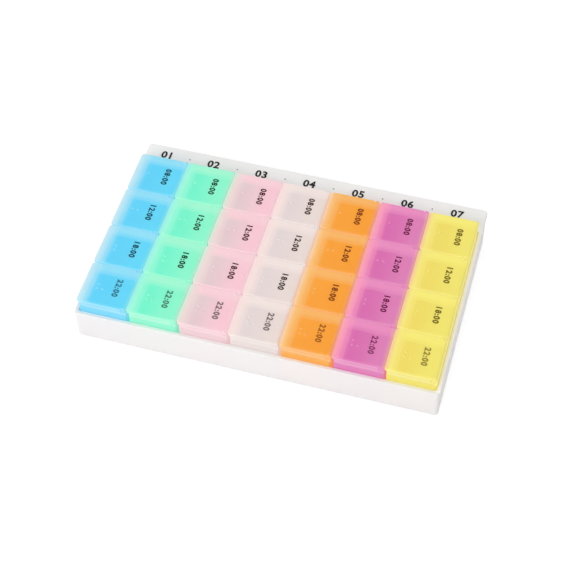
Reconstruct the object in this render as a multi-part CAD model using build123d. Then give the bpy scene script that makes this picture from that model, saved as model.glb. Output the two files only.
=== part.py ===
from build123d import *
import os

# Weekly pill organizer: a tray with seven lift-out day boxes, each with four hinged lids.
# Sizes are in millimetres. +X runs along the week, +Y to the label shelf, +Z up,
# and the origin is on the table, under the middle of the tray.

days = ["sunday", "monday", "tuesday", "wednesday", "thursday", "friday", "saturday"]
doses = 4

# Room for one compartment along its day box, partition included
dose_pitch = 29.0

# Day box, with the gap from its lids' thumb edges to the next box
box_width = 28.4
day_gap = 0.4
box_height = 25.4
box_wall = 1.2
box_floor = 1.2
partition = 1.4
box_corner = 1.5
box_foot_round = 1.0
compartment_round = 1.5

# Lid
lid_gap = 0.4
lid_seam = 0.1
lid_height = 3.3
lid_plate = 1.2
lid_corner = 1.8
lid_edge_round = 0.5
thumb_overhang = 1.2
lip_depth = 1.5
lip_thickness = 0.9
lip_clearance = 0.4

# Snap-in hinge between each lid and its box
barrel_radius = 1.5
ear_radius = 1.4
ear_thickness = 2.0
trunnion_radius = 0.85
trunnion_grip = 0.6
hinge_running_gap = 0.05
ear_side_gap = 0.2
ear_front_gap = 0.3
ear_root = 1.6

# Raised dots that tell the lids apart by touch
dot_base_radius = 0.8
dot_height = 0.4
dot_spacing = 3.2
dot_from_thumb_edge = 9.0
dot_columns_and_rows = [
    [(0, 0)],
    [(0, 0), (1, 0)],
    [(0, 0), (0, 1)],
    [(0, 0), (0, 1), (1, 1)],
]

# Tray
box_clearance = 0.4
tray_wall = 2.4
tray_floor = 2.0
tray_height = 21.8
tray_corner = 2.4
tray_foot_round = 1.0
tray_rim_round = 0.6
pocket_rim_round = 0.5
pocket_corner = 1.2
shelf_depth = 16.6
shelf_overhang = 6.0
shelf_thickness = 2.0
shelf_corner = 2.2
shelf_rib = 1.5

# How far a cutting block runs past the face that it opens
overcut = 1.0

# Places that follow from these sizes
day_pitch = box_width + thumb_overhang + day_gap
box_length = doses * dose_pitch - lid_gap
pocket_width = (len(days) - 1) * day_pitch + box_width + 2 * box_clearance
pocket_length = box_length + 2 * box_clearance
tray_width = pocket_width + 2 * tray_wall
tray_front = -(tray_wall + pocket_length + shelf_depth) / 2
pocket_front = tray_front + tray_wall
pocket_back = pocket_front + pocket_length
shelf_back = pocket_back + shelf_depth
tray_back = shelf_back - shelf_overhang
rim_z = tray_floor + box_height
lid_top_z = rim_z + lid_seam + lid_height
hinge_x = box_width / 2 - ear_radius
hinge_z = lid_top_z - barrel_radius
ear_inner_y = (dose_pitch - ear_thickness) / 2
lid_notch_y = ear_inner_y - ear_side_gap
lid_notch_x = hinge_x - ear_radius - ear_front_gap


def block(x_range, y_range, z_range):
    """Plain block between two corners."""
    size = [high - low for low, high in (x_range, y_range, z_range)]
    middle = [(high + low) / 2 for low, high in (x_range, y_range, z_range)]
    return Pos(*middle) * Box(*size)


def rounded_block(x_range, y_range, z_range, corner):
    """Block with its four upright edges rounded."""
    size = [high - low for low, high in (x_range, y_range)]
    middle = [(high + low) / 2 for low, high in (x_range, y_range)]
    outline = RectangleRounded(*size, corner)
    return Pos(*middle, z_range[0]) * extrude(outline, z_range[1] - z_range[0])


def rod(x, z, y_range, radius):
    """Cylinder along Y."""
    length = y_range[1] - y_range[0]
    return Pos(x, (y_range[0] + y_range[1]) / 2, z) * Rot(90, 0, 0) * Cylinder(radius, length)


def day_x(day):
    """Middle of a day box across the week."""
    return (day - (len(days) - 1) / 2) * day_pitch


def dose_y(dose):
    """Middle of a compartment, the first one being nearest the shelf."""
    middle = (pocket_front + pocket_back) / 2
    return middle + ((doses - 1) / 2 - dose) * dose_pitch


def make_tray():
    """Open tray with a label shelf behind its pocket, hollow under the shelf."""
    half = tray_width / 2
    body = rounded_block((-half, half), (tray_front, tray_back), (0, tray_height), tray_corner)
    body = fillet(body.faces().sort_by(Axis.Z)[0].edges(), tray_foot_round)
    # The shelf's plate runs forward into the side rims, and the pocket is cut through it
    shelf_z = tray_height - shelf_thickness
    middle_y = (tray_front + tray_back) / 2
    body += rounded_block((-half, half), (middle_y, shelf_back), (shelf_z, tray_height), shelf_corner)
    body = fillet(body.faces().sort_by(Axis.Z)[-1].edges(), tray_rim_round)
    pocket = rounded_block(
        (-pocket_width / 2, pocket_width / 2),
        (pocket_front, pocket_back),
        (tray_floor, tray_height + overcut),
        pocket_corner,
    )
    body -= pocket
    mouth = body.faces().sort_by(Axis.Z)[-1].inner_wires()[0]
    body = fillet(mouth.edges(), pocket_rim_round)
    bays = len(days)
    bay_room = tray_width - 2 * tray_wall - (bays - 1) * shelf_rib
    bay_width = bay_room / bays
    for bay in range(bays):
        left = -half + tray_wall + bay * (bay_width + shelf_rib)
        body -= block(
            (left, left + bay_width),
            (pocket_back + tray_wall, tray_back - tray_wall),
            (-overcut, shelf_z),
        )
    return body


def make_box(day):
    """Day box: four compartments in a row, with hinge ears at its right-hand rim."""
    half = box_width / 2
    front = dose_y(doses - 1) - dose_pitch / 2 + lid_gap / 2
    back = front + box_length
    body = rounded_block((-half, half), (front, back), (tray_floor, rim_z), box_corner)
    body = fillet(body.faces().sort_by(Axis.Z)[0].edges(), box_foot_round)
    for dose in range(doses):
        low = max(dose_y(dose) - dose_pitch / 2 + partition / 2, front + box_wall)
        high = min(dose_y(dose) + dose_pitch / 2 - partition / 2, back - box_wall)
        room = rounded_block(
            (-half + box_wall, half - box_wall),
            (low, high),
            (tray_floor + box_floor, rim_z + overcut),
            compartment_round,
        )
        room = fillet(room.faces().sort_by(Axis.Z)[0].edges(), compartment_round)
        body -= room
    for edge in range(doses + 1):
        middle = front - lid_gap / 2 + edge * dose_pitch
        low = max(middle - dose_pitch / 2 + ear_inner_y, front)
        high = min(middle + dose_pitch / 2 - ear_inner_y, back)
        body += block((hinge_x - ear_radius, half), (low, high), (rim_z - ear_root, hinge_z))
        body += rod(hinge_x, hinge_z, (low, high), ear_radius)
        body -= rod(hinge_x, hinge_z, (low, high), trunnion_radius + hinge_running_gap)
    return Pos(day_x(day), 0, 0) * body


def make_lid(day, dose):
    """Lid: a plate with a frame and an inner lip, on a barrel with two trunnions."""
    thumb_x = -box_width / 2 - thumb_overhang
    half = dose_pitch / 2 - lid_gap / 2
    plate_z = lid_top_z - lid_plate
    plate = block((thumb_x, hinge_x), (-half, half), (plate_z, lid_top_z))
    thumb_edges = plate.edges().filter_by(Axis.Z).group_by(Axis.X)[0]
    plate = fillet(thumb_edges, lid_corner)
    top_edges = plate.faces().sort_by(Axis.Z)[-1].edges().sort_by(Axis.X)[:-1]
    plate = fillet(top_edges, lid_edge_round)

    frame_x = (-box_width / 2, lid_notch_x)
    frame = block(frame_x, (-half, half), (rim_z + lid_seam, plate_z))
    frame_edges = frame.edges().filter_by(Axis.Z).group_by(Axis.X)[0]
    frame = fillet(frame_edges, lid_corner)

    lip_x = (frame_x[0] + box_wall + lip_clearance, lid_notch_x - lip_clearance)
    lip_y = dose_pitch / 2 - lid_gap / 2 - box_wall - lip_clearance
    lip = rounded_block(lip_x, (-lip_y, lip_y), (rim_z - lip_depth, plate_z), compartment_round)
    inner_x = (lip_x[0] + lip_thickness, lip_x[1] - lip_thickness)
    inner_y = lip_y - lip_thickness
    inner_corner = compartment_round - lip_thickness
    hollow = rounded_block(inner_x, (-inner_y, inner_y), (rim_z - lip_depth, plate_z), inner_corner)

    body = plate + (frame + lip - hollow)
    for side in (-1, 1):
        ends = sorted((side * lid_notch_y, side * (half + overcut)))
        body -= block((lid_notch_x, hinge_x + overcut), ends, (rim_z, lid_top_z + overcut))
    body += rod(hinge_x, hinge_z, (-lid_notch_y, lid_notch_y), barrel_radius)
    trunnion_y = ear_inner_y + trunnion_grip
    body += rod(hinge_x, hinge_z, (-trunnion_y, trunnion_y), trunnion_radius)

    ball = (dot_base_radius**2 + dot_height**2) / (2 * dot_height)
    for column, row in dot_columns_and_rows[dose]:
        x = thumb_x + dot_from_thumb_edge + column * dot_spacing
        dot = Pos(x, -row * dot_spacing, lid_top_z + dot_height - ball) * Sphere(ball)
        body += dot & block((x - ball, x + ball), (-half, half), (plate_z, lid_top_z + overcut))
    return Pos(day_x(day), dose_y(dose), 0) * body


os.makedirs("parts", exist_ok=True)
export_step(make_tray(), "parts/tray.step")
for number, name in enumerate(days):
    export_step(make_box(number), f"parts/{name}_box.step")
    for dose in range(doses):
        export_step(make_lid(number, dose), f"parts/{name}_lid_{dose + 1}.step")
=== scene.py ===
import math

import bmesh
import bpy
from mathutils import Matrix, Vector


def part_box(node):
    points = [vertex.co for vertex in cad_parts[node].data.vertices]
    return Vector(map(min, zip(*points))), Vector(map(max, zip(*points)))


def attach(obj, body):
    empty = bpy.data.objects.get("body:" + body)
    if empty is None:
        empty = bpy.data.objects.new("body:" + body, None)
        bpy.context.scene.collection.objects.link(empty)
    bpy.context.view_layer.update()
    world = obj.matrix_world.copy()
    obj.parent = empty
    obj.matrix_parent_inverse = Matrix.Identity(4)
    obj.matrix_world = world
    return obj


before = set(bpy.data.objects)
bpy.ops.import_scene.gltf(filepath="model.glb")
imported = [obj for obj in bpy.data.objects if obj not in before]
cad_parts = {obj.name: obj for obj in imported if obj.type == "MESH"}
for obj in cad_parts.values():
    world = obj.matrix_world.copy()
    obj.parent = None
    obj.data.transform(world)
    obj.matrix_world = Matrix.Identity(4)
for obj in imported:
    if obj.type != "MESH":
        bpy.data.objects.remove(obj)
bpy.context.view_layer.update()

MM = 0.001

# The day boxes from left to right, each with the slot that colours it
DAYS = ["sunday", "monday", "tuesday", "wednesday", "thursday", "friday", "saturday"]
SLOTS = ["blue", "mint", "pink", "clear", "orange", "purple", "yellow"]

# Plain numbers stand where the object is printed: days along the shelf, hours on the lids
DAY_NUMBERS = ["01", "02", "03", "04", "05", "06", "07"]
DOSE_HOURS = ["08:00", "12:00", "18:00", "22:00"]

# Display colours of each plastic, from 0 to 255. A lid's face runs from one colour by the thumb to
# another by the hinge, between a milky band along its thumb edge, which also carries painted light,
# and another along its back edge. Deep is the colour of a box near its floor.
PLASTICS = {
    "blue": {
        "by_thumb": (104, 214, 250), "by_hinge": (106, 218, 250),
        "thumb_band": (188, 232, 247), "back_band": (152, 226, 251),
        "deep": (66, 192, 240), "ink": (4, 64, 86),
    },
    "mint": {
        "by_thumb": (124, 245, 209), "by_hinge": (147, 247, 210),
        "thumb_band": (166, 253, 222), "back_band": (168, 251, 215),
        "deep": (84, 226, 182), "ink": (2, 62, 26),
    },
    "pink": {
        "by_thumb": (228, 207, 210), "by_hinge": (251, 205, 216),
        "thumb_band": (240, 222, 220), "back_band": (251, 213, 220),
        "deep": (240, 176, 196), "ink": (72, 10, 22),
    },
    "clear": {
        "by_thumb": (228, 217, 216), "by_hinge": (234, 221, 216),
        "thumb_band": (248, 229, 225), "back_band": (242, 229, 225),
        "deep": (220, 202, 198), "ink": (60, 34, 26),
    },
    "orange": {
        "by_thumb": (251, 167, 59), "by_hinge": (251, 165, 55),
        "thumb_band": (253, 197, 123), "back_band": (252, 187, 107),
        "deep": (248, 132, 44), "ink": (130, 44, 0),
    },
    "purple": {
        "by_thumb": (220, 113, 180), "by_hinge": (224, 133, 188),
        "thumb_band": (251, 160, 195), "back_band": (235, 148, 197),
        "deep": (208, 78, 146), "ink": (110, 8, 64),
    },
    "yellow": {
        "by_thumb": (239, 222, 106), "by_hinge": (242, 231, 117),
        "thumb_band": (250, 234, 134), "back_band": (249, 237, 126),
        "deep": (238, 206, 76), "ink": (116, 96, 0),
    },
}

# Display colours of the tray, and of the print on its shelf
TRAY_WHITE = (239, 238, 237)
TRAY_PALE = (242, 241, 240)
TRAY_SPECK = (230, 227, 224)
# Painted light: the tray's upright walls a little lighter than its top, also the colour of the painted
# glow in the pocket's rim
TRAY_UPRIGHT_PAINTED_LIGHT = (245, 241, 241)
SHELF_INK = (30, 30, 32)
SHELF_DOT_INK = (120, 118, 118)

# Scene-linear colours
WHITE = (1.0, 1.0, 1.0, 1.0)
BLACK = (0.0, 0.0, 0.0, 1.0)
FLOOR_LIT = (0.8, 0.8, 0.8, 1.0)
FLOOR_SHADOWED = (0.3, 0.3, 0.3, 1.0)

# How rough each plastic is, how wavy, how much it mirrors, and how far light travels in it
LID_ROUGHNESS = 0.45
BOX_ROUGHNESS = 0.45
TRAY_ROUGHNESS = 0.42
INK_ROUGHNESS = 0.5
FROSTED_WAVINESS = 0.14
TRAY_WAVINESS = 0.10
INK_WAVINESS = 0.08
FROSTED_SHEEN = 0.12
INK_SHEEN = 0.08
FROSTED_SCATTER = 1.5 * MM
TRAY_SCATTER = 2.5 * MM
ALL_COLOURS_ALIKE = (1.0, 1.0, 1.0)

# Shares of painted glow, emission standing in for light that passes through, on the upright faces and in
# the pocket's front rim
LID_LIGHT = 0.45
BOX_LIGHT = 0.5
RIM_LIGHT = 0.08

# Share of white in the painted highlights
HIGHLIGHT_WHITE = 0.12

# Where a lid's face runs from one colour to the other, measured from its thumb edge
FACE_BLEND = (8 * MM, 27 * MM)

# Bands along a lid's edges: how far from the edge each one starts to fade and ends, and its share
# Painted light that comes through the plate by the thumb edge
THUMB_PAINTED_GLOW = (1.5 * MM, 9.5 * MM, 0.55)
THUMB_FRAME = (3.5 * MM, 4.5 * MM, 0.22)
THUMB_LIP = (6.1 * MM, 7.1 * MM, 0.23)
BACK_FRAME = (3.4 * MM, 6.0 * MM, 0.45)
BACK_LIP = (6.2 * MM, 7.8 * MM, 0.55)
# A painted highlight along the front edge of each lid
FRONT_HIGHLIGHT = (0.3 * MM, 1.8 * MM, 0.35)
# Painted light of the neighbouring boxes in the two long edges of a lid's top
THUMB_PAINTED_SPILL = (0.0 * MM, 3.2 * MM, 0.38)
HINGE_PAINTED_SPILL = (-0.3 * MM, 2.5 * MM, 0.27)
BAND_WANDER = 0.7 * MM

# Print: how far it stands over its surface, how tall and bold it is, and how wide it is spaced
PRINT_RAISED = 0.01 * MM
SHELF_PRINT = {"height": 5.6 * MM, "boldness": 0.035, "spacing": 1.1}
LID_PRINT = {"height": 3.7 * MM, "boldness": 0.041, "spacing": 1.2}
LAST_ROW_WEAR = 0.2

# Places of the print
SHELF_PRINT_PITCH = 30.6 * MM
SHELF_PRINT_SHIFT = -2.1 * MM
SHELF_PRINT_Y = 60.6 * MM
SHELF_DOT_Y = 60.5 * MM
SHELF_DOT_RADIUS = 0.45 * MM
LID_PRINT_FROM_THUMB = 20.3 * MM
LID_PRINT_SHIFT = -0.3 * MM

# Sizes of the part that its boxes don't give
TOUCH_DOT_HEIGHT = 0.4 * MM
LID_HEIGHT = 3.3 * MM
TRAY_WALL = 2.4 * MM

# Places read from the frame
lid_low, lid_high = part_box("sunday_lid_1")
LID_TOP = lid_high.z - TOUCH_DOT_HEIGHT
LID_WIDTH = lid_high.x - lid_low.x
LID_LENGTH = lid_high.y - lid_low.y
LID_FOOT = LID_TOP - LID_HEIGHT
DAY_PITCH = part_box("monday_lid_1")[0].x - lid_low.x
DOSE_PITCH = lid_low.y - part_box("sunday_lid_2")[0].y
SHELF_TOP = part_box("tray")[1].z
POCKET_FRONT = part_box("tray")[0].y + TRAY_WALL

# Strength of the world's light, as it lights the object and as it is seen
WORLD_LIT = 0.48
WORLD_SEEN = 1.0

# Strength of the floor's glow, and the length of its sides
FLOOR_GLOW = 0.78
FLOOR_SIZE = 6.0


def linear(rgb):
    """Display values from 0 to 255 as a scene-linear colour."""
    shares = [value / 255 for value in rgb]
    return (*(v / 12.92 if v <= 0.04045 else ((v + 0.055) / 1.055) ** 2.4 for v in shares), 1.0)


def slot_colours(slot):
    """Scene-linear colours of one plastic, by name."""
    return {name: linear(rgb) for name, rgb in PLASTICS[slot].items()}


class Shader:
    """One material, or the world, with short ways to add nodes and join them."""

    def __init__(self, name, kind="Material"):
        holder = bpy.data.worlds if kind == "World" else bpy.data.materials
        self.owner = holder.new(name)
        self.owner.use_nodes = True
        tree = self.owner.node_tree
        self.nodes = tree.nodes
        self.links = tree.links
        self.nodes.clear()
        self.end = self.nodes.new("ShaderNodeOutput" + kind).inputs["Surface"]
        self.place = self.nodes.new("ShaderNodeTexCoord").outputs["Object"]

    def feed(self, socket, value):
        """Join an output to a socket, or set the socket's own value."""
        if isinstance(value, bpy.types.NodeSocket):
            self.links.new(value, socket)
        else:
            socket.default_value = value

    def node(self, kind, **inputs):
        """A node with its inputs fed by name, an underscore standing for a space."""
        made = self.nodes.new(kind)
        for name, value in inputs.items():
            self.feed(made.inputs[name.replace("_", " ")], value)
        return made

    def math(self, operation, *values):
        """The result of one operation on one or more values."""
        made = self.nodes.new("ShaderNodeMath")
        made.operation = operation
        for socket, value in zip(made.inputs, values):
            self.feed(socket, value)
        return made.outputs[0]

    def step(self, value, start, end, before=0.0, after=1.0):
        """A soft step: before at start, after at end."""
        made = self.node("ShaderNodeMapRange", Value=value)
        made.interpolation_type = "SMOOTHSTEP"
        ends = {"From Min": start, "From Max": end, "To Min": before, "To Max": after}
        for name, number in ends.items():
            made.inputs[name].default_value = number
        return made.outputs["Result"]

    def band(self, distance, start, end, share):
        """A band along an edge: its full share up to start, and nothing past end."""
        return self.step(distance, start, end, share, 0.0)

    def split(self, vector):
        """The X, Y and Z of a vector."""
        return self.node("ShaderNodeSeparateXYZ", Vector=vector).outputs

    def within(self, place, start, pitch, length):
        """Distance from the start of the nearest of the pieces that repeat at this pitch."""
        margin = (pitch - length) / 2
        return self.math("WRAP", self.math("SUBTRACT", place, start), pitch - margin, -margin)

    def facing(self, axis):
        """How far the surface faces along an axis of the object."""
        return self.split(self.nodes.new("ShaderNodeTexCoord").outputs["Normal"])[axis]

    def upright(self, start, end):
        """1 on upright faces and 0 on level ones, between two values of their upward facing."""
        return self.step(self.math("ABSOLUTE", self.facing("Z")), start, end, 1.0, 0.0)

    def mix(self, share, first, second):
        """The first colour, with a share of the second in its place."""
        made = self.nodes.new("ShaderNodeMix")
        made.data_type = "RGBA"
        inputs = {socket.identifier: socket for socket in made.inputs}
        self.feed(inputs["Factor_Float"], share)
        self.feed(inputs["A_Color"], first)
        self.feed(inputs["B_Color"], second)
        return next(s for s in made.outputs if s.identifier == "Result_Color")

    def noise(self, grain, detail=2.0):
        """Noise whose features are about grain across."""
        made = self.node("ShaderNodeTexNoise", Vector=self.place, Scale=1 / grain, Detail=detail)
        return made.outputs["Fac"]

    def frosted(self, colour, roughness, light):
        """Frosted plastic whose upright faces trade a share of their lit colour for a painted glow of
        the same colour, standing in for light that passes through.
        """
        painted_glow = self.math("MULTIPLY", self.upright(0.3, 0.95), light)
        return self.plastic(
            self.mix(painted_glow, colour, BLACK), roughness, FROSTED_WAVINESS,
            Emission_Color=colour, Emission_Strength=painted_glow,
            Subsurface_Weight=0.6, Subsurface_Radius=ALL_COLOURS_ALIKE,
            Subsurface_Scale=FROSTED_SCATTER, Specular_IOR_Level=FROSTED_SHEEN,
        )

    def plastic(self, colour, roughness, waviness, **settings):
        """Moulded plastic: satin gloss that varies, a fine grain and a slight waviness."""
        blotches = self.noise(1.1 * MM, 3.0)
        gloss = self.step(blotches, 0.3, 0.7, roughness - 0.05, roughness + 0.05)
        grain = self.math("MULTIPLY", self.noise(0.2 * MM), 0.2)
        height = self.math("ADD", grain, self.noise(9 * MM, 1.0))
        bump = self.node("ShaderNodeBump", Height=height, Strength=waviness, Distance=0.2 * MM)
        made = self.node(
            "ShaderNodeBsdfPrincipled",
            Base_Color=colour, Roughness=gloss, Normal=bump.outputs["Normal"], **settings,
        )
        self.links.new(made.outputs["BSDF"], self.end)
        return self.owner


def tray_plastic():
    """White plastic, clouded a little, with fine specks, painted light that makes its upright walls a
    little lighter, and a painted glow in the front rim of the pocket.
    """
    shader = Shader("tray_white_plastic")
    cloud = shader.step(shader.noise(32 * MM, 3.0), 0.35, 0.65)
    colour = shader.mix(cloud, linear(TRAY_WHITE), linear(TRAY_PALE))
    colour = shader.mix(shader.upright(0.2, 0.7), colour, linear(TRAY_UPRIGHT_PAINTED_LIGHT))
    speck = shader.step(shader.noise(0.7 * MM), 0.62, 0.75, after=0.12)
    colour = shader.mix(speck, colour, linear(TRAY_SPECK))
    # Painted glow: emission in the front rim of the pocket, standing in for light that the boxes pass
    # into it
    parts = shader.split(shader.place)
    near = shader.step(parts["Y"], POCKET_FRONT - 1.7 * MM, POCKET_FRONT - 0.2 * MM, after=RIM_LIGHT)
    past = shader.step(parts["Y"], POCKET_FRONT, POCKET_FRONT + 0.3 * MM, 1.0, 0.0)
    high = shader.step(parts["Z"], SHELF_TOP - 1.4 * MM, SHELF_TOP - 0.7 * MM)
    return shader.plastic(
        colour, TRAY_ROUGHNESS, TRAY_WAVINESS,
        Emission_Color=linear(TRAY_UPRIGHT_PAINTED_LIGHT),
        Emission_Strength=shader.math("MULTIPLY", near, shader.math("MULTIPLY", past, high)),
        Subsurface_Weight=0.5, Subsurface_Radius=ALL_COLOURS_ALIKE, Subsurface_Scale=TRAY_SCATTER,
    )


def neighbour_colour(number):
    """Colour of the painted light beside a day box: the tray's white before the first, its own after the
    last.
    """
    if number < 0:
        return linear(TRAY_WHITE)
    return slot_colours(SLOTS[min(number, len(SLOTS) - 1)])["back_band"]


def painted_spill(shader, across, colour, number):
    """Painted light: the neighbours' colour mixed into the two long edges of a lid's top, where their
    light would shine in.
    """
    top = shader.step(shader.facing("Z"), 0.3, 0.8)
    from_hinge = shader.math("SUBTRACT", LID_WIDTH, across)
    thumb = shader.band(across, *THUMB_PAINTED_SPILL)
    hinge = shader.band(from_hinge, *HINGE_PAINTED_SPILL)
    for share, beside in ((thumb, number - 1), (hinge, number + 1)):
        colour = shader.mix(shader.math("MULTIPLY", top, share), colour, neighbour_colour(beside))
    return colour


def lid_plastic(number):
    """Frosted plastic of a day's lids: milky bands painted where the frame and the lip under a plate
    scatter light, painted light by the thumb edge, painted highlights and the neighbours' painted light.
    """
    slot = SLOTS[number]
    colours = slot_colours(slot)
    milky = colours["back_band"]
    shader = Shader(slot + "_lid_plastic")
    parts = shader.split(shader.place)
    across = shader.within(parts["X"], lid_low.x, DAY_PITCH, LID_WIDTH)
    along = shader.within(parts["Y"], lid_low.y, DOSE_PITCH, LID_LENGTH)
    colour = shader.mix(shader.step(across, *FACE_BLEND), colours["by_thumb"], colours["by_hinge"])

    # Milky bands with edges that wander a little
    drift = shader.math("SUBTRACT", shader.noise(8 * MM), 0.5)
    wander = shader.math("MULTIPLY", drift, BAND_WANDER)
    from_back = shader.math("SUBTRACT", LID_LENGTH, shader.math("ADD", along, wander))
    back_lip = shader.band(from_back, *BACK_LIP)
    back_frame = shader.band(from_back, *BACK_FRAME)
    colour = shader.mix(shader.math("ADD", back_lip, back_frame), colour, milky)
    from_thumb = shader.math("ADD", across, wander)
    thumb_lip = shader.band(from_thumb, *THUMB_LIP)
    thumb_frame = shader.band(from_thumb, *THUMB_FRAME)
    # Painted light that comes through by the thumb edge
    painted_thumb_glow = shader.band(from_thumb, *THUMB_PAINTED_GLOW)
    thumb = shader.math("ADD", painted_thumb_glow, shader.math("ADD", thumb_frame, thumb_lip))
    colour = shader.mix(thumb, colour, colours["thumb_band"])
    cloud = shader.step(shader.noise(11 * MM, 3.0), 0.45, 0.75, after=0.07)
    colour = shader.mix(cloud, colour, colours["deep"])

    # Painted highlights: white mixed into the rounded edge of the plate, the foot of the frame, the
    # front edge and the dots
    painted_highlight = shader.mix(HIGHLIGHT_WHITE, milky, WHITE)
    edge = shader.step(parts["Z"], LID_TOP - 1.6 * MM, LID_TOP - 1.0 * MM, 0.5, 0.9)
    foot = shader.step(parts["Z"], LID_FOOT + 0.7 * MM, LID_FOOT + 1.3 * MM, 1.2, 0.5)
    highlight_lines = shader.math("MULTIPLY", shader.upright(0.5, 0.97), shader.math("MAXIMUM", edge, foot))
    front = shader.band(along, *FRONT_HIGHLIGHT)
    colour = shader.mix(shader.math("MAXIMUM", highlight_lines, front), colour, painted_highlight)
    dot = shader.step(parts["Z"], LID_TOP + 0.02 * MM, LID_TOP + 0.15 * MM, after=0.3)
    colour = shader.mix(dot, colour, painted_highlight)
    return shader.frosted(painted_spill(shader, across, colour, number), LID_ROUGHNESS, LID_LIGHT)


def box_plastic(number):
    """The same plastic on a day box, deeper in colour towards its floor."""
    slot = SLOTS[number]
    colours = slot_colours(slot)
    milky = colours["back_band"]
    shader = Shader(slot + "_box_plastic")
    parts = shader.split(shader.place)
    height = shader.step(parts["Z"], SHELF_TOP - 11 * MM, SHELF_TOP - 2 * MM)
    colour = shader.mix(height, colours["deep"], colours["by_thumb"])
    cloud = shader.step(shader.noise(14 * MM, 3.0), 0.35, 0.7, 0.5, 0.6)
    colour = shader.mix(cloud, colour, milky)

    # Painted highlight in the rim under the lids, less in the ears beside them
    under = shader.step(parts["Z"], LID_FOOT - 2.0 * MM, LID_FOOT - 0.3 * MM, after=0.9)
    ears = shader.step(parts["Z"], LID_FOOT - 0.1 * MM, LID_FOOT + 0.3 * MM, 1.0, 0.3)
    painted_highlight = shader.mix(HIGHLIGHT_WHITE, milky, WHITE)
    colour = shader.mix(shader.math("MULTIPLY", under, ears), colour, painted_highlight)

    # Painted light on the hinge-facing side near the tray's rim: more on the last box, beside the tray's
    # bright rim, less on the others, close to the next box
    painted_rim_light = 0.15 if slot == SLOTS[-1] else 0.1
    rim = shader.step(parts["Z"], SHELF_TOP - 1 * MM, SHELF_TOP + 3 * MM, after=painted_rim_light)
    hinge_side = shader.step(shader.facing("X"), 0.4, 0.9)
    colour = shader.mix(shader.math("MULTIPLY", rim, hinge_side), colour, WHITE)
    return shader.frosted(colour, BOX_ROUGHNESS, BOX_LIGHT)


def ink(name, rgb, ground, wear=0.0):
    """Printing ink, thinner in spots where the plastic under it shows through."""
    shader = Shader(name)
    worn = shader.step(shader.noise(0.35 * MM, 3.0), 0.55, 0.8, wear, wear + 0.15)
    colour = shader.mix(worn, linear(rgb), linear(ground))
    return shader.plastic(colour, INK_ROUGHNESS, INK_WAVINESS, Specular_IOR_Level=INK_SHEEN)


def dress(node, material):
    """Give a CAD node its material."""
    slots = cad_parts[node].data.materials
    slots.clear()
    slots.append(material)


def dress_frame():
    """Materials of the CAD nodes."""
    dress("tray", tray_plastic())
    for number, day in enumerate(DAYS):
        dress(day + "_box", box_plastic(number))
        plastic = lid_plastic(number)
        for dose in range(len(DOSE_HOURS)):
            dress(f"{day}_lid_{dose + 1}", plastic)


def print_number(name, text, middle, turn, body, material, height, boldness, spacing):
    """A number printed flat on the surface under it, as tall as its height."""
    outline = bpy.data.curves.new(name, "FONT")
    outline.body = text
    outline.resolution_u = 4
    outline.offset = boldness
    outline.space_character = spacing
    outline.extrude = PRINT_RAISED
    piece = bpy.data.objects.new(name, outline)
    bpy.context.scene.collection.objects.link(piece)
    bpy.context.view_layer.update()
    low, high = Vector(piece.bound_box[0]), Vector(piece.bound_box[6])
    size = height / (high.y - low.y)
    scale = Matrix.Diagonal((size, size, 1, 1))
    centre = Matrix.Translation(-(low + high) / 2)
    rotation = Matrix.Rotation(turn, 4, "Z")
    piece.matrix_world = Matrix.Translation(middle) @ rotation @ scale @ centre
    outline.materials.append(material)
    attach(piece, body)


def print_dot(name, middle, radius, material):
    """A small round printed dot on the shelf."""
    mesh = bpy.data.meshes.new(name)
    disc = bmesh.new()
    bmesh.ops.create_cone(
        disc, cap_ends=True, segments=20, radius1=radius, radius2=radius, depth=2 * PRINT_RAISED
    )
    bmesh.ops.translate(disc, vec=middle, verts=disc.verts)
    disc.to_mesh(mesh)
    disc.free()
    piece = bpy.data.objects.new(name, mesh)
    bpy.context.scene.collection.objects.link(piece)
    mesh.materials.append(material)
    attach(piece, "tray")


def print_shelf():
    """Day numbers along the label shelf, spaced a little wider than the boxes, with dots between."""
    black = ink("shelf_ink", SHELF_INK, TRAY_WHITE)
    grey = ink("shelf_dot_ink", SHELF_DOT_INK, TRAY_WHITE)
    middle_day = (len(DAYS) - 1) / 2
    for number, (day, text) in enumerate(zip(DAYS, DAY_NUMBERS)):
        x = (number - middle_day) * SHELF_PRINT_PITCH + SHELF_PRINT_SHIFT
        middle = Vector((x, SHELF_PRINT_Y, SHELF_TOP))
        print_number("number_" + day, text, middle, 0.0, "tray", black, **SHELF_PRINT)
        if number:
            between = Vector((x - SHELF_PRINT_PITCH / 2, SHELF_DOT_Y, SHELF_TOP))
            print_dot("dot_before_" + day, between, SHELF_DOT_RADIUS, grey)


def print_lids():
    """An hour on each lid, read from the thumb's side with the hinge at the top."""
    for day, slot in zip(DAYS, SLOTS):
        colours = PLASTICS[slot]
        dark = ink(slot + "_lid_ink", colours["ink"], colours["by_thumb"])
        worn = ink(slot + "_lid_ink_worn", colours["ink"], colours["by_thumb"], LAST_ROW_WEAR)
        for dose, text in enumerate(DOSE_HOURS):
            lid = f"{day}_lid_{dose + 1}"
            low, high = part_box(lid)
            x = low.x + LID_PRINT_FROM_THUMB
            middle = Vector((x, (low.y + high.y) / 2 + LID_PRINT_SHIFT, LID_TOP))
            material = worn if dose == len(DOSE_HOURS) - 1 else dark
            print_number("hour_" + lid, text, middle, -math.pi / 2, lid, material, **LID_PRINT)


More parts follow.
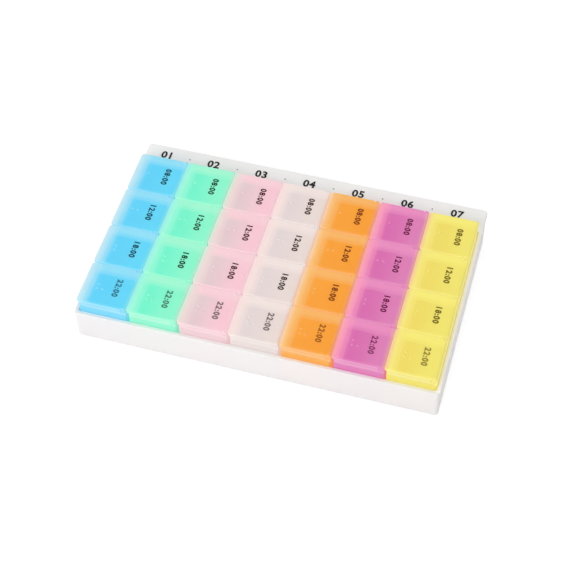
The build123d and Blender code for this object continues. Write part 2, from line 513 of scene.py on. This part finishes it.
def white_where_seen(shader, lit, seen):
    """The lit shader for light that bounces, and the seen one for the camera, gloss and glass."""
    rays = shader.node("ShaderNodeLightPath").outputs
    direct = shader.math("MAXIMUM", rays["Is Camera Ray"], rays["Is Glossy Ray"])
    direct = shader.math("MAXIMUM", direct, rays["Is Transmission Ray"])
    choice = shader.node("ShaderNodeMixShader", Fac=direct)
    shader.links.new(lit, choice.inputs[1])
    shader.links.new(seen, choice.inputs[2])
    return choice.outputs[0]


def make_floor():
    """Pale floor that shows white and keeps a faint shadow of the object."""
    bpy.ops.mesh.primitive_plane_add(size=FLOOR_SIZE)
    floor = bpy.context.object
    floor.name = "studio_floor"
    shader = Shader("studio_floor_white")
    lit = shader.node("ShaderNodeBsdfDiffuse", Color=FLOOR_LIT).outputs[0]
    shadowed = shader.node("ShaderNodeBsdfDiffuse", Color=FLOOR_SHADOWED).outputs[0]
    glow = shader.node("ShaderNodeEmission", Color=WHITE, Strength=FLOOR_GLOW).outputs[0]
    seen = shader.nodes.new("ShaderNodeAddShader")
    shader.links.new(shadowed, seen.inputs[0])
    shader.links.new(glow, seen.inputs[1])
    shader.links.new(white_where_seen(shader, lit, seen.outputs[0]), shader.end)
    floor.data.materials.append(shader.owner)


def make_lamp(name, place, size, power):
    """A round soft lamp that points at the object."""
    light = bpy.data.lights.new(name, "AREA")
    light.shape = "DISK"
    light.size = size
    light.energy = power
    lamp = bpy.data.objects.new(name, light)
    bpy.context.scene.collection.objects.link(lamp)
    lamp.location = place
    lamp.rotation_euler = (-place).to_track_quat("-Z", "Y").to_euler()


def make_world():
    """Even white light from all round."""
    shader = Shader("studio", "World")
    lit = shader.node("ShaderNodeBackground", Color=WHITE, Strength=WORLD_LIT).outputs[0]
    seen = shader.node("ShaderNodeBackground", Color=WHITE, Strength=WORLD_SEEN).outputs[0]
    shader.links.new(white_where_seen(shader, lit, seen), shader.end)
    bpy.context.scene.world = shader.owner


def make_camera():
    """The camera's place comes from a fit of the lids' corners and the tray's edges."""
    azimuth = math.radians(17.13)
    elevation = math.radians(53.22)
    roll = math.radians(-1.63)
    distance = 846.2 * MM
    left, down = 2.62 * MM, 15.75 * MM
    focal_pixels = 1465.1
    image_width = 576
    middle_of_fit = Vector((1.0 * MM, -7.15 * MM, LID_TOP))
    back = Vector((
        math.sin(azimuth) * math.cos(elevation),
        -math.cos(azimuth) * math.cos(elevation),
        math.sin(elevation),
    ))
    level = Vector((math.cos(azimuth), math.sin(azimuth), 0))
    right = math.cos(roll) * level + math.sin(roll) * back.cross(level)
    up = back.cross(right)
    lens = bpy.data.cameras.new("camera")
    lens.sensor_fit = "HORIZONTAL"
    lens.sensor_width = 36.0
    lens.lens = focal_pixels * lens.sensor_width / image_width
    lens.clip_start = 10 * MM
    camera = bpy.data.objects.new("camera", lens)
    bpy.context.scene.collection.objects.link(camera)
    place = middle_of_fit + left * right - down * up + distance * back
    axes = Matrix((right, up, back)).transposed().to_4x4()
    camera.matrix_world = Matrix.Translation(place) @ axes
    bpy.context.scene.camera = camera


dress_frame()
print_shelf()
print_lids()
make_floor()
make_lamp("key", place=Vector((-0.38, -1.14, 0.72)), size=1.0, power=9.0)
make_lamp("fill", place=Vector((0.1, 0.5, 1.3)), size=0.9, power=6.1)
make_world()
make_camera()
bpy.context.scene.view_settings.view_transform = "Standard"
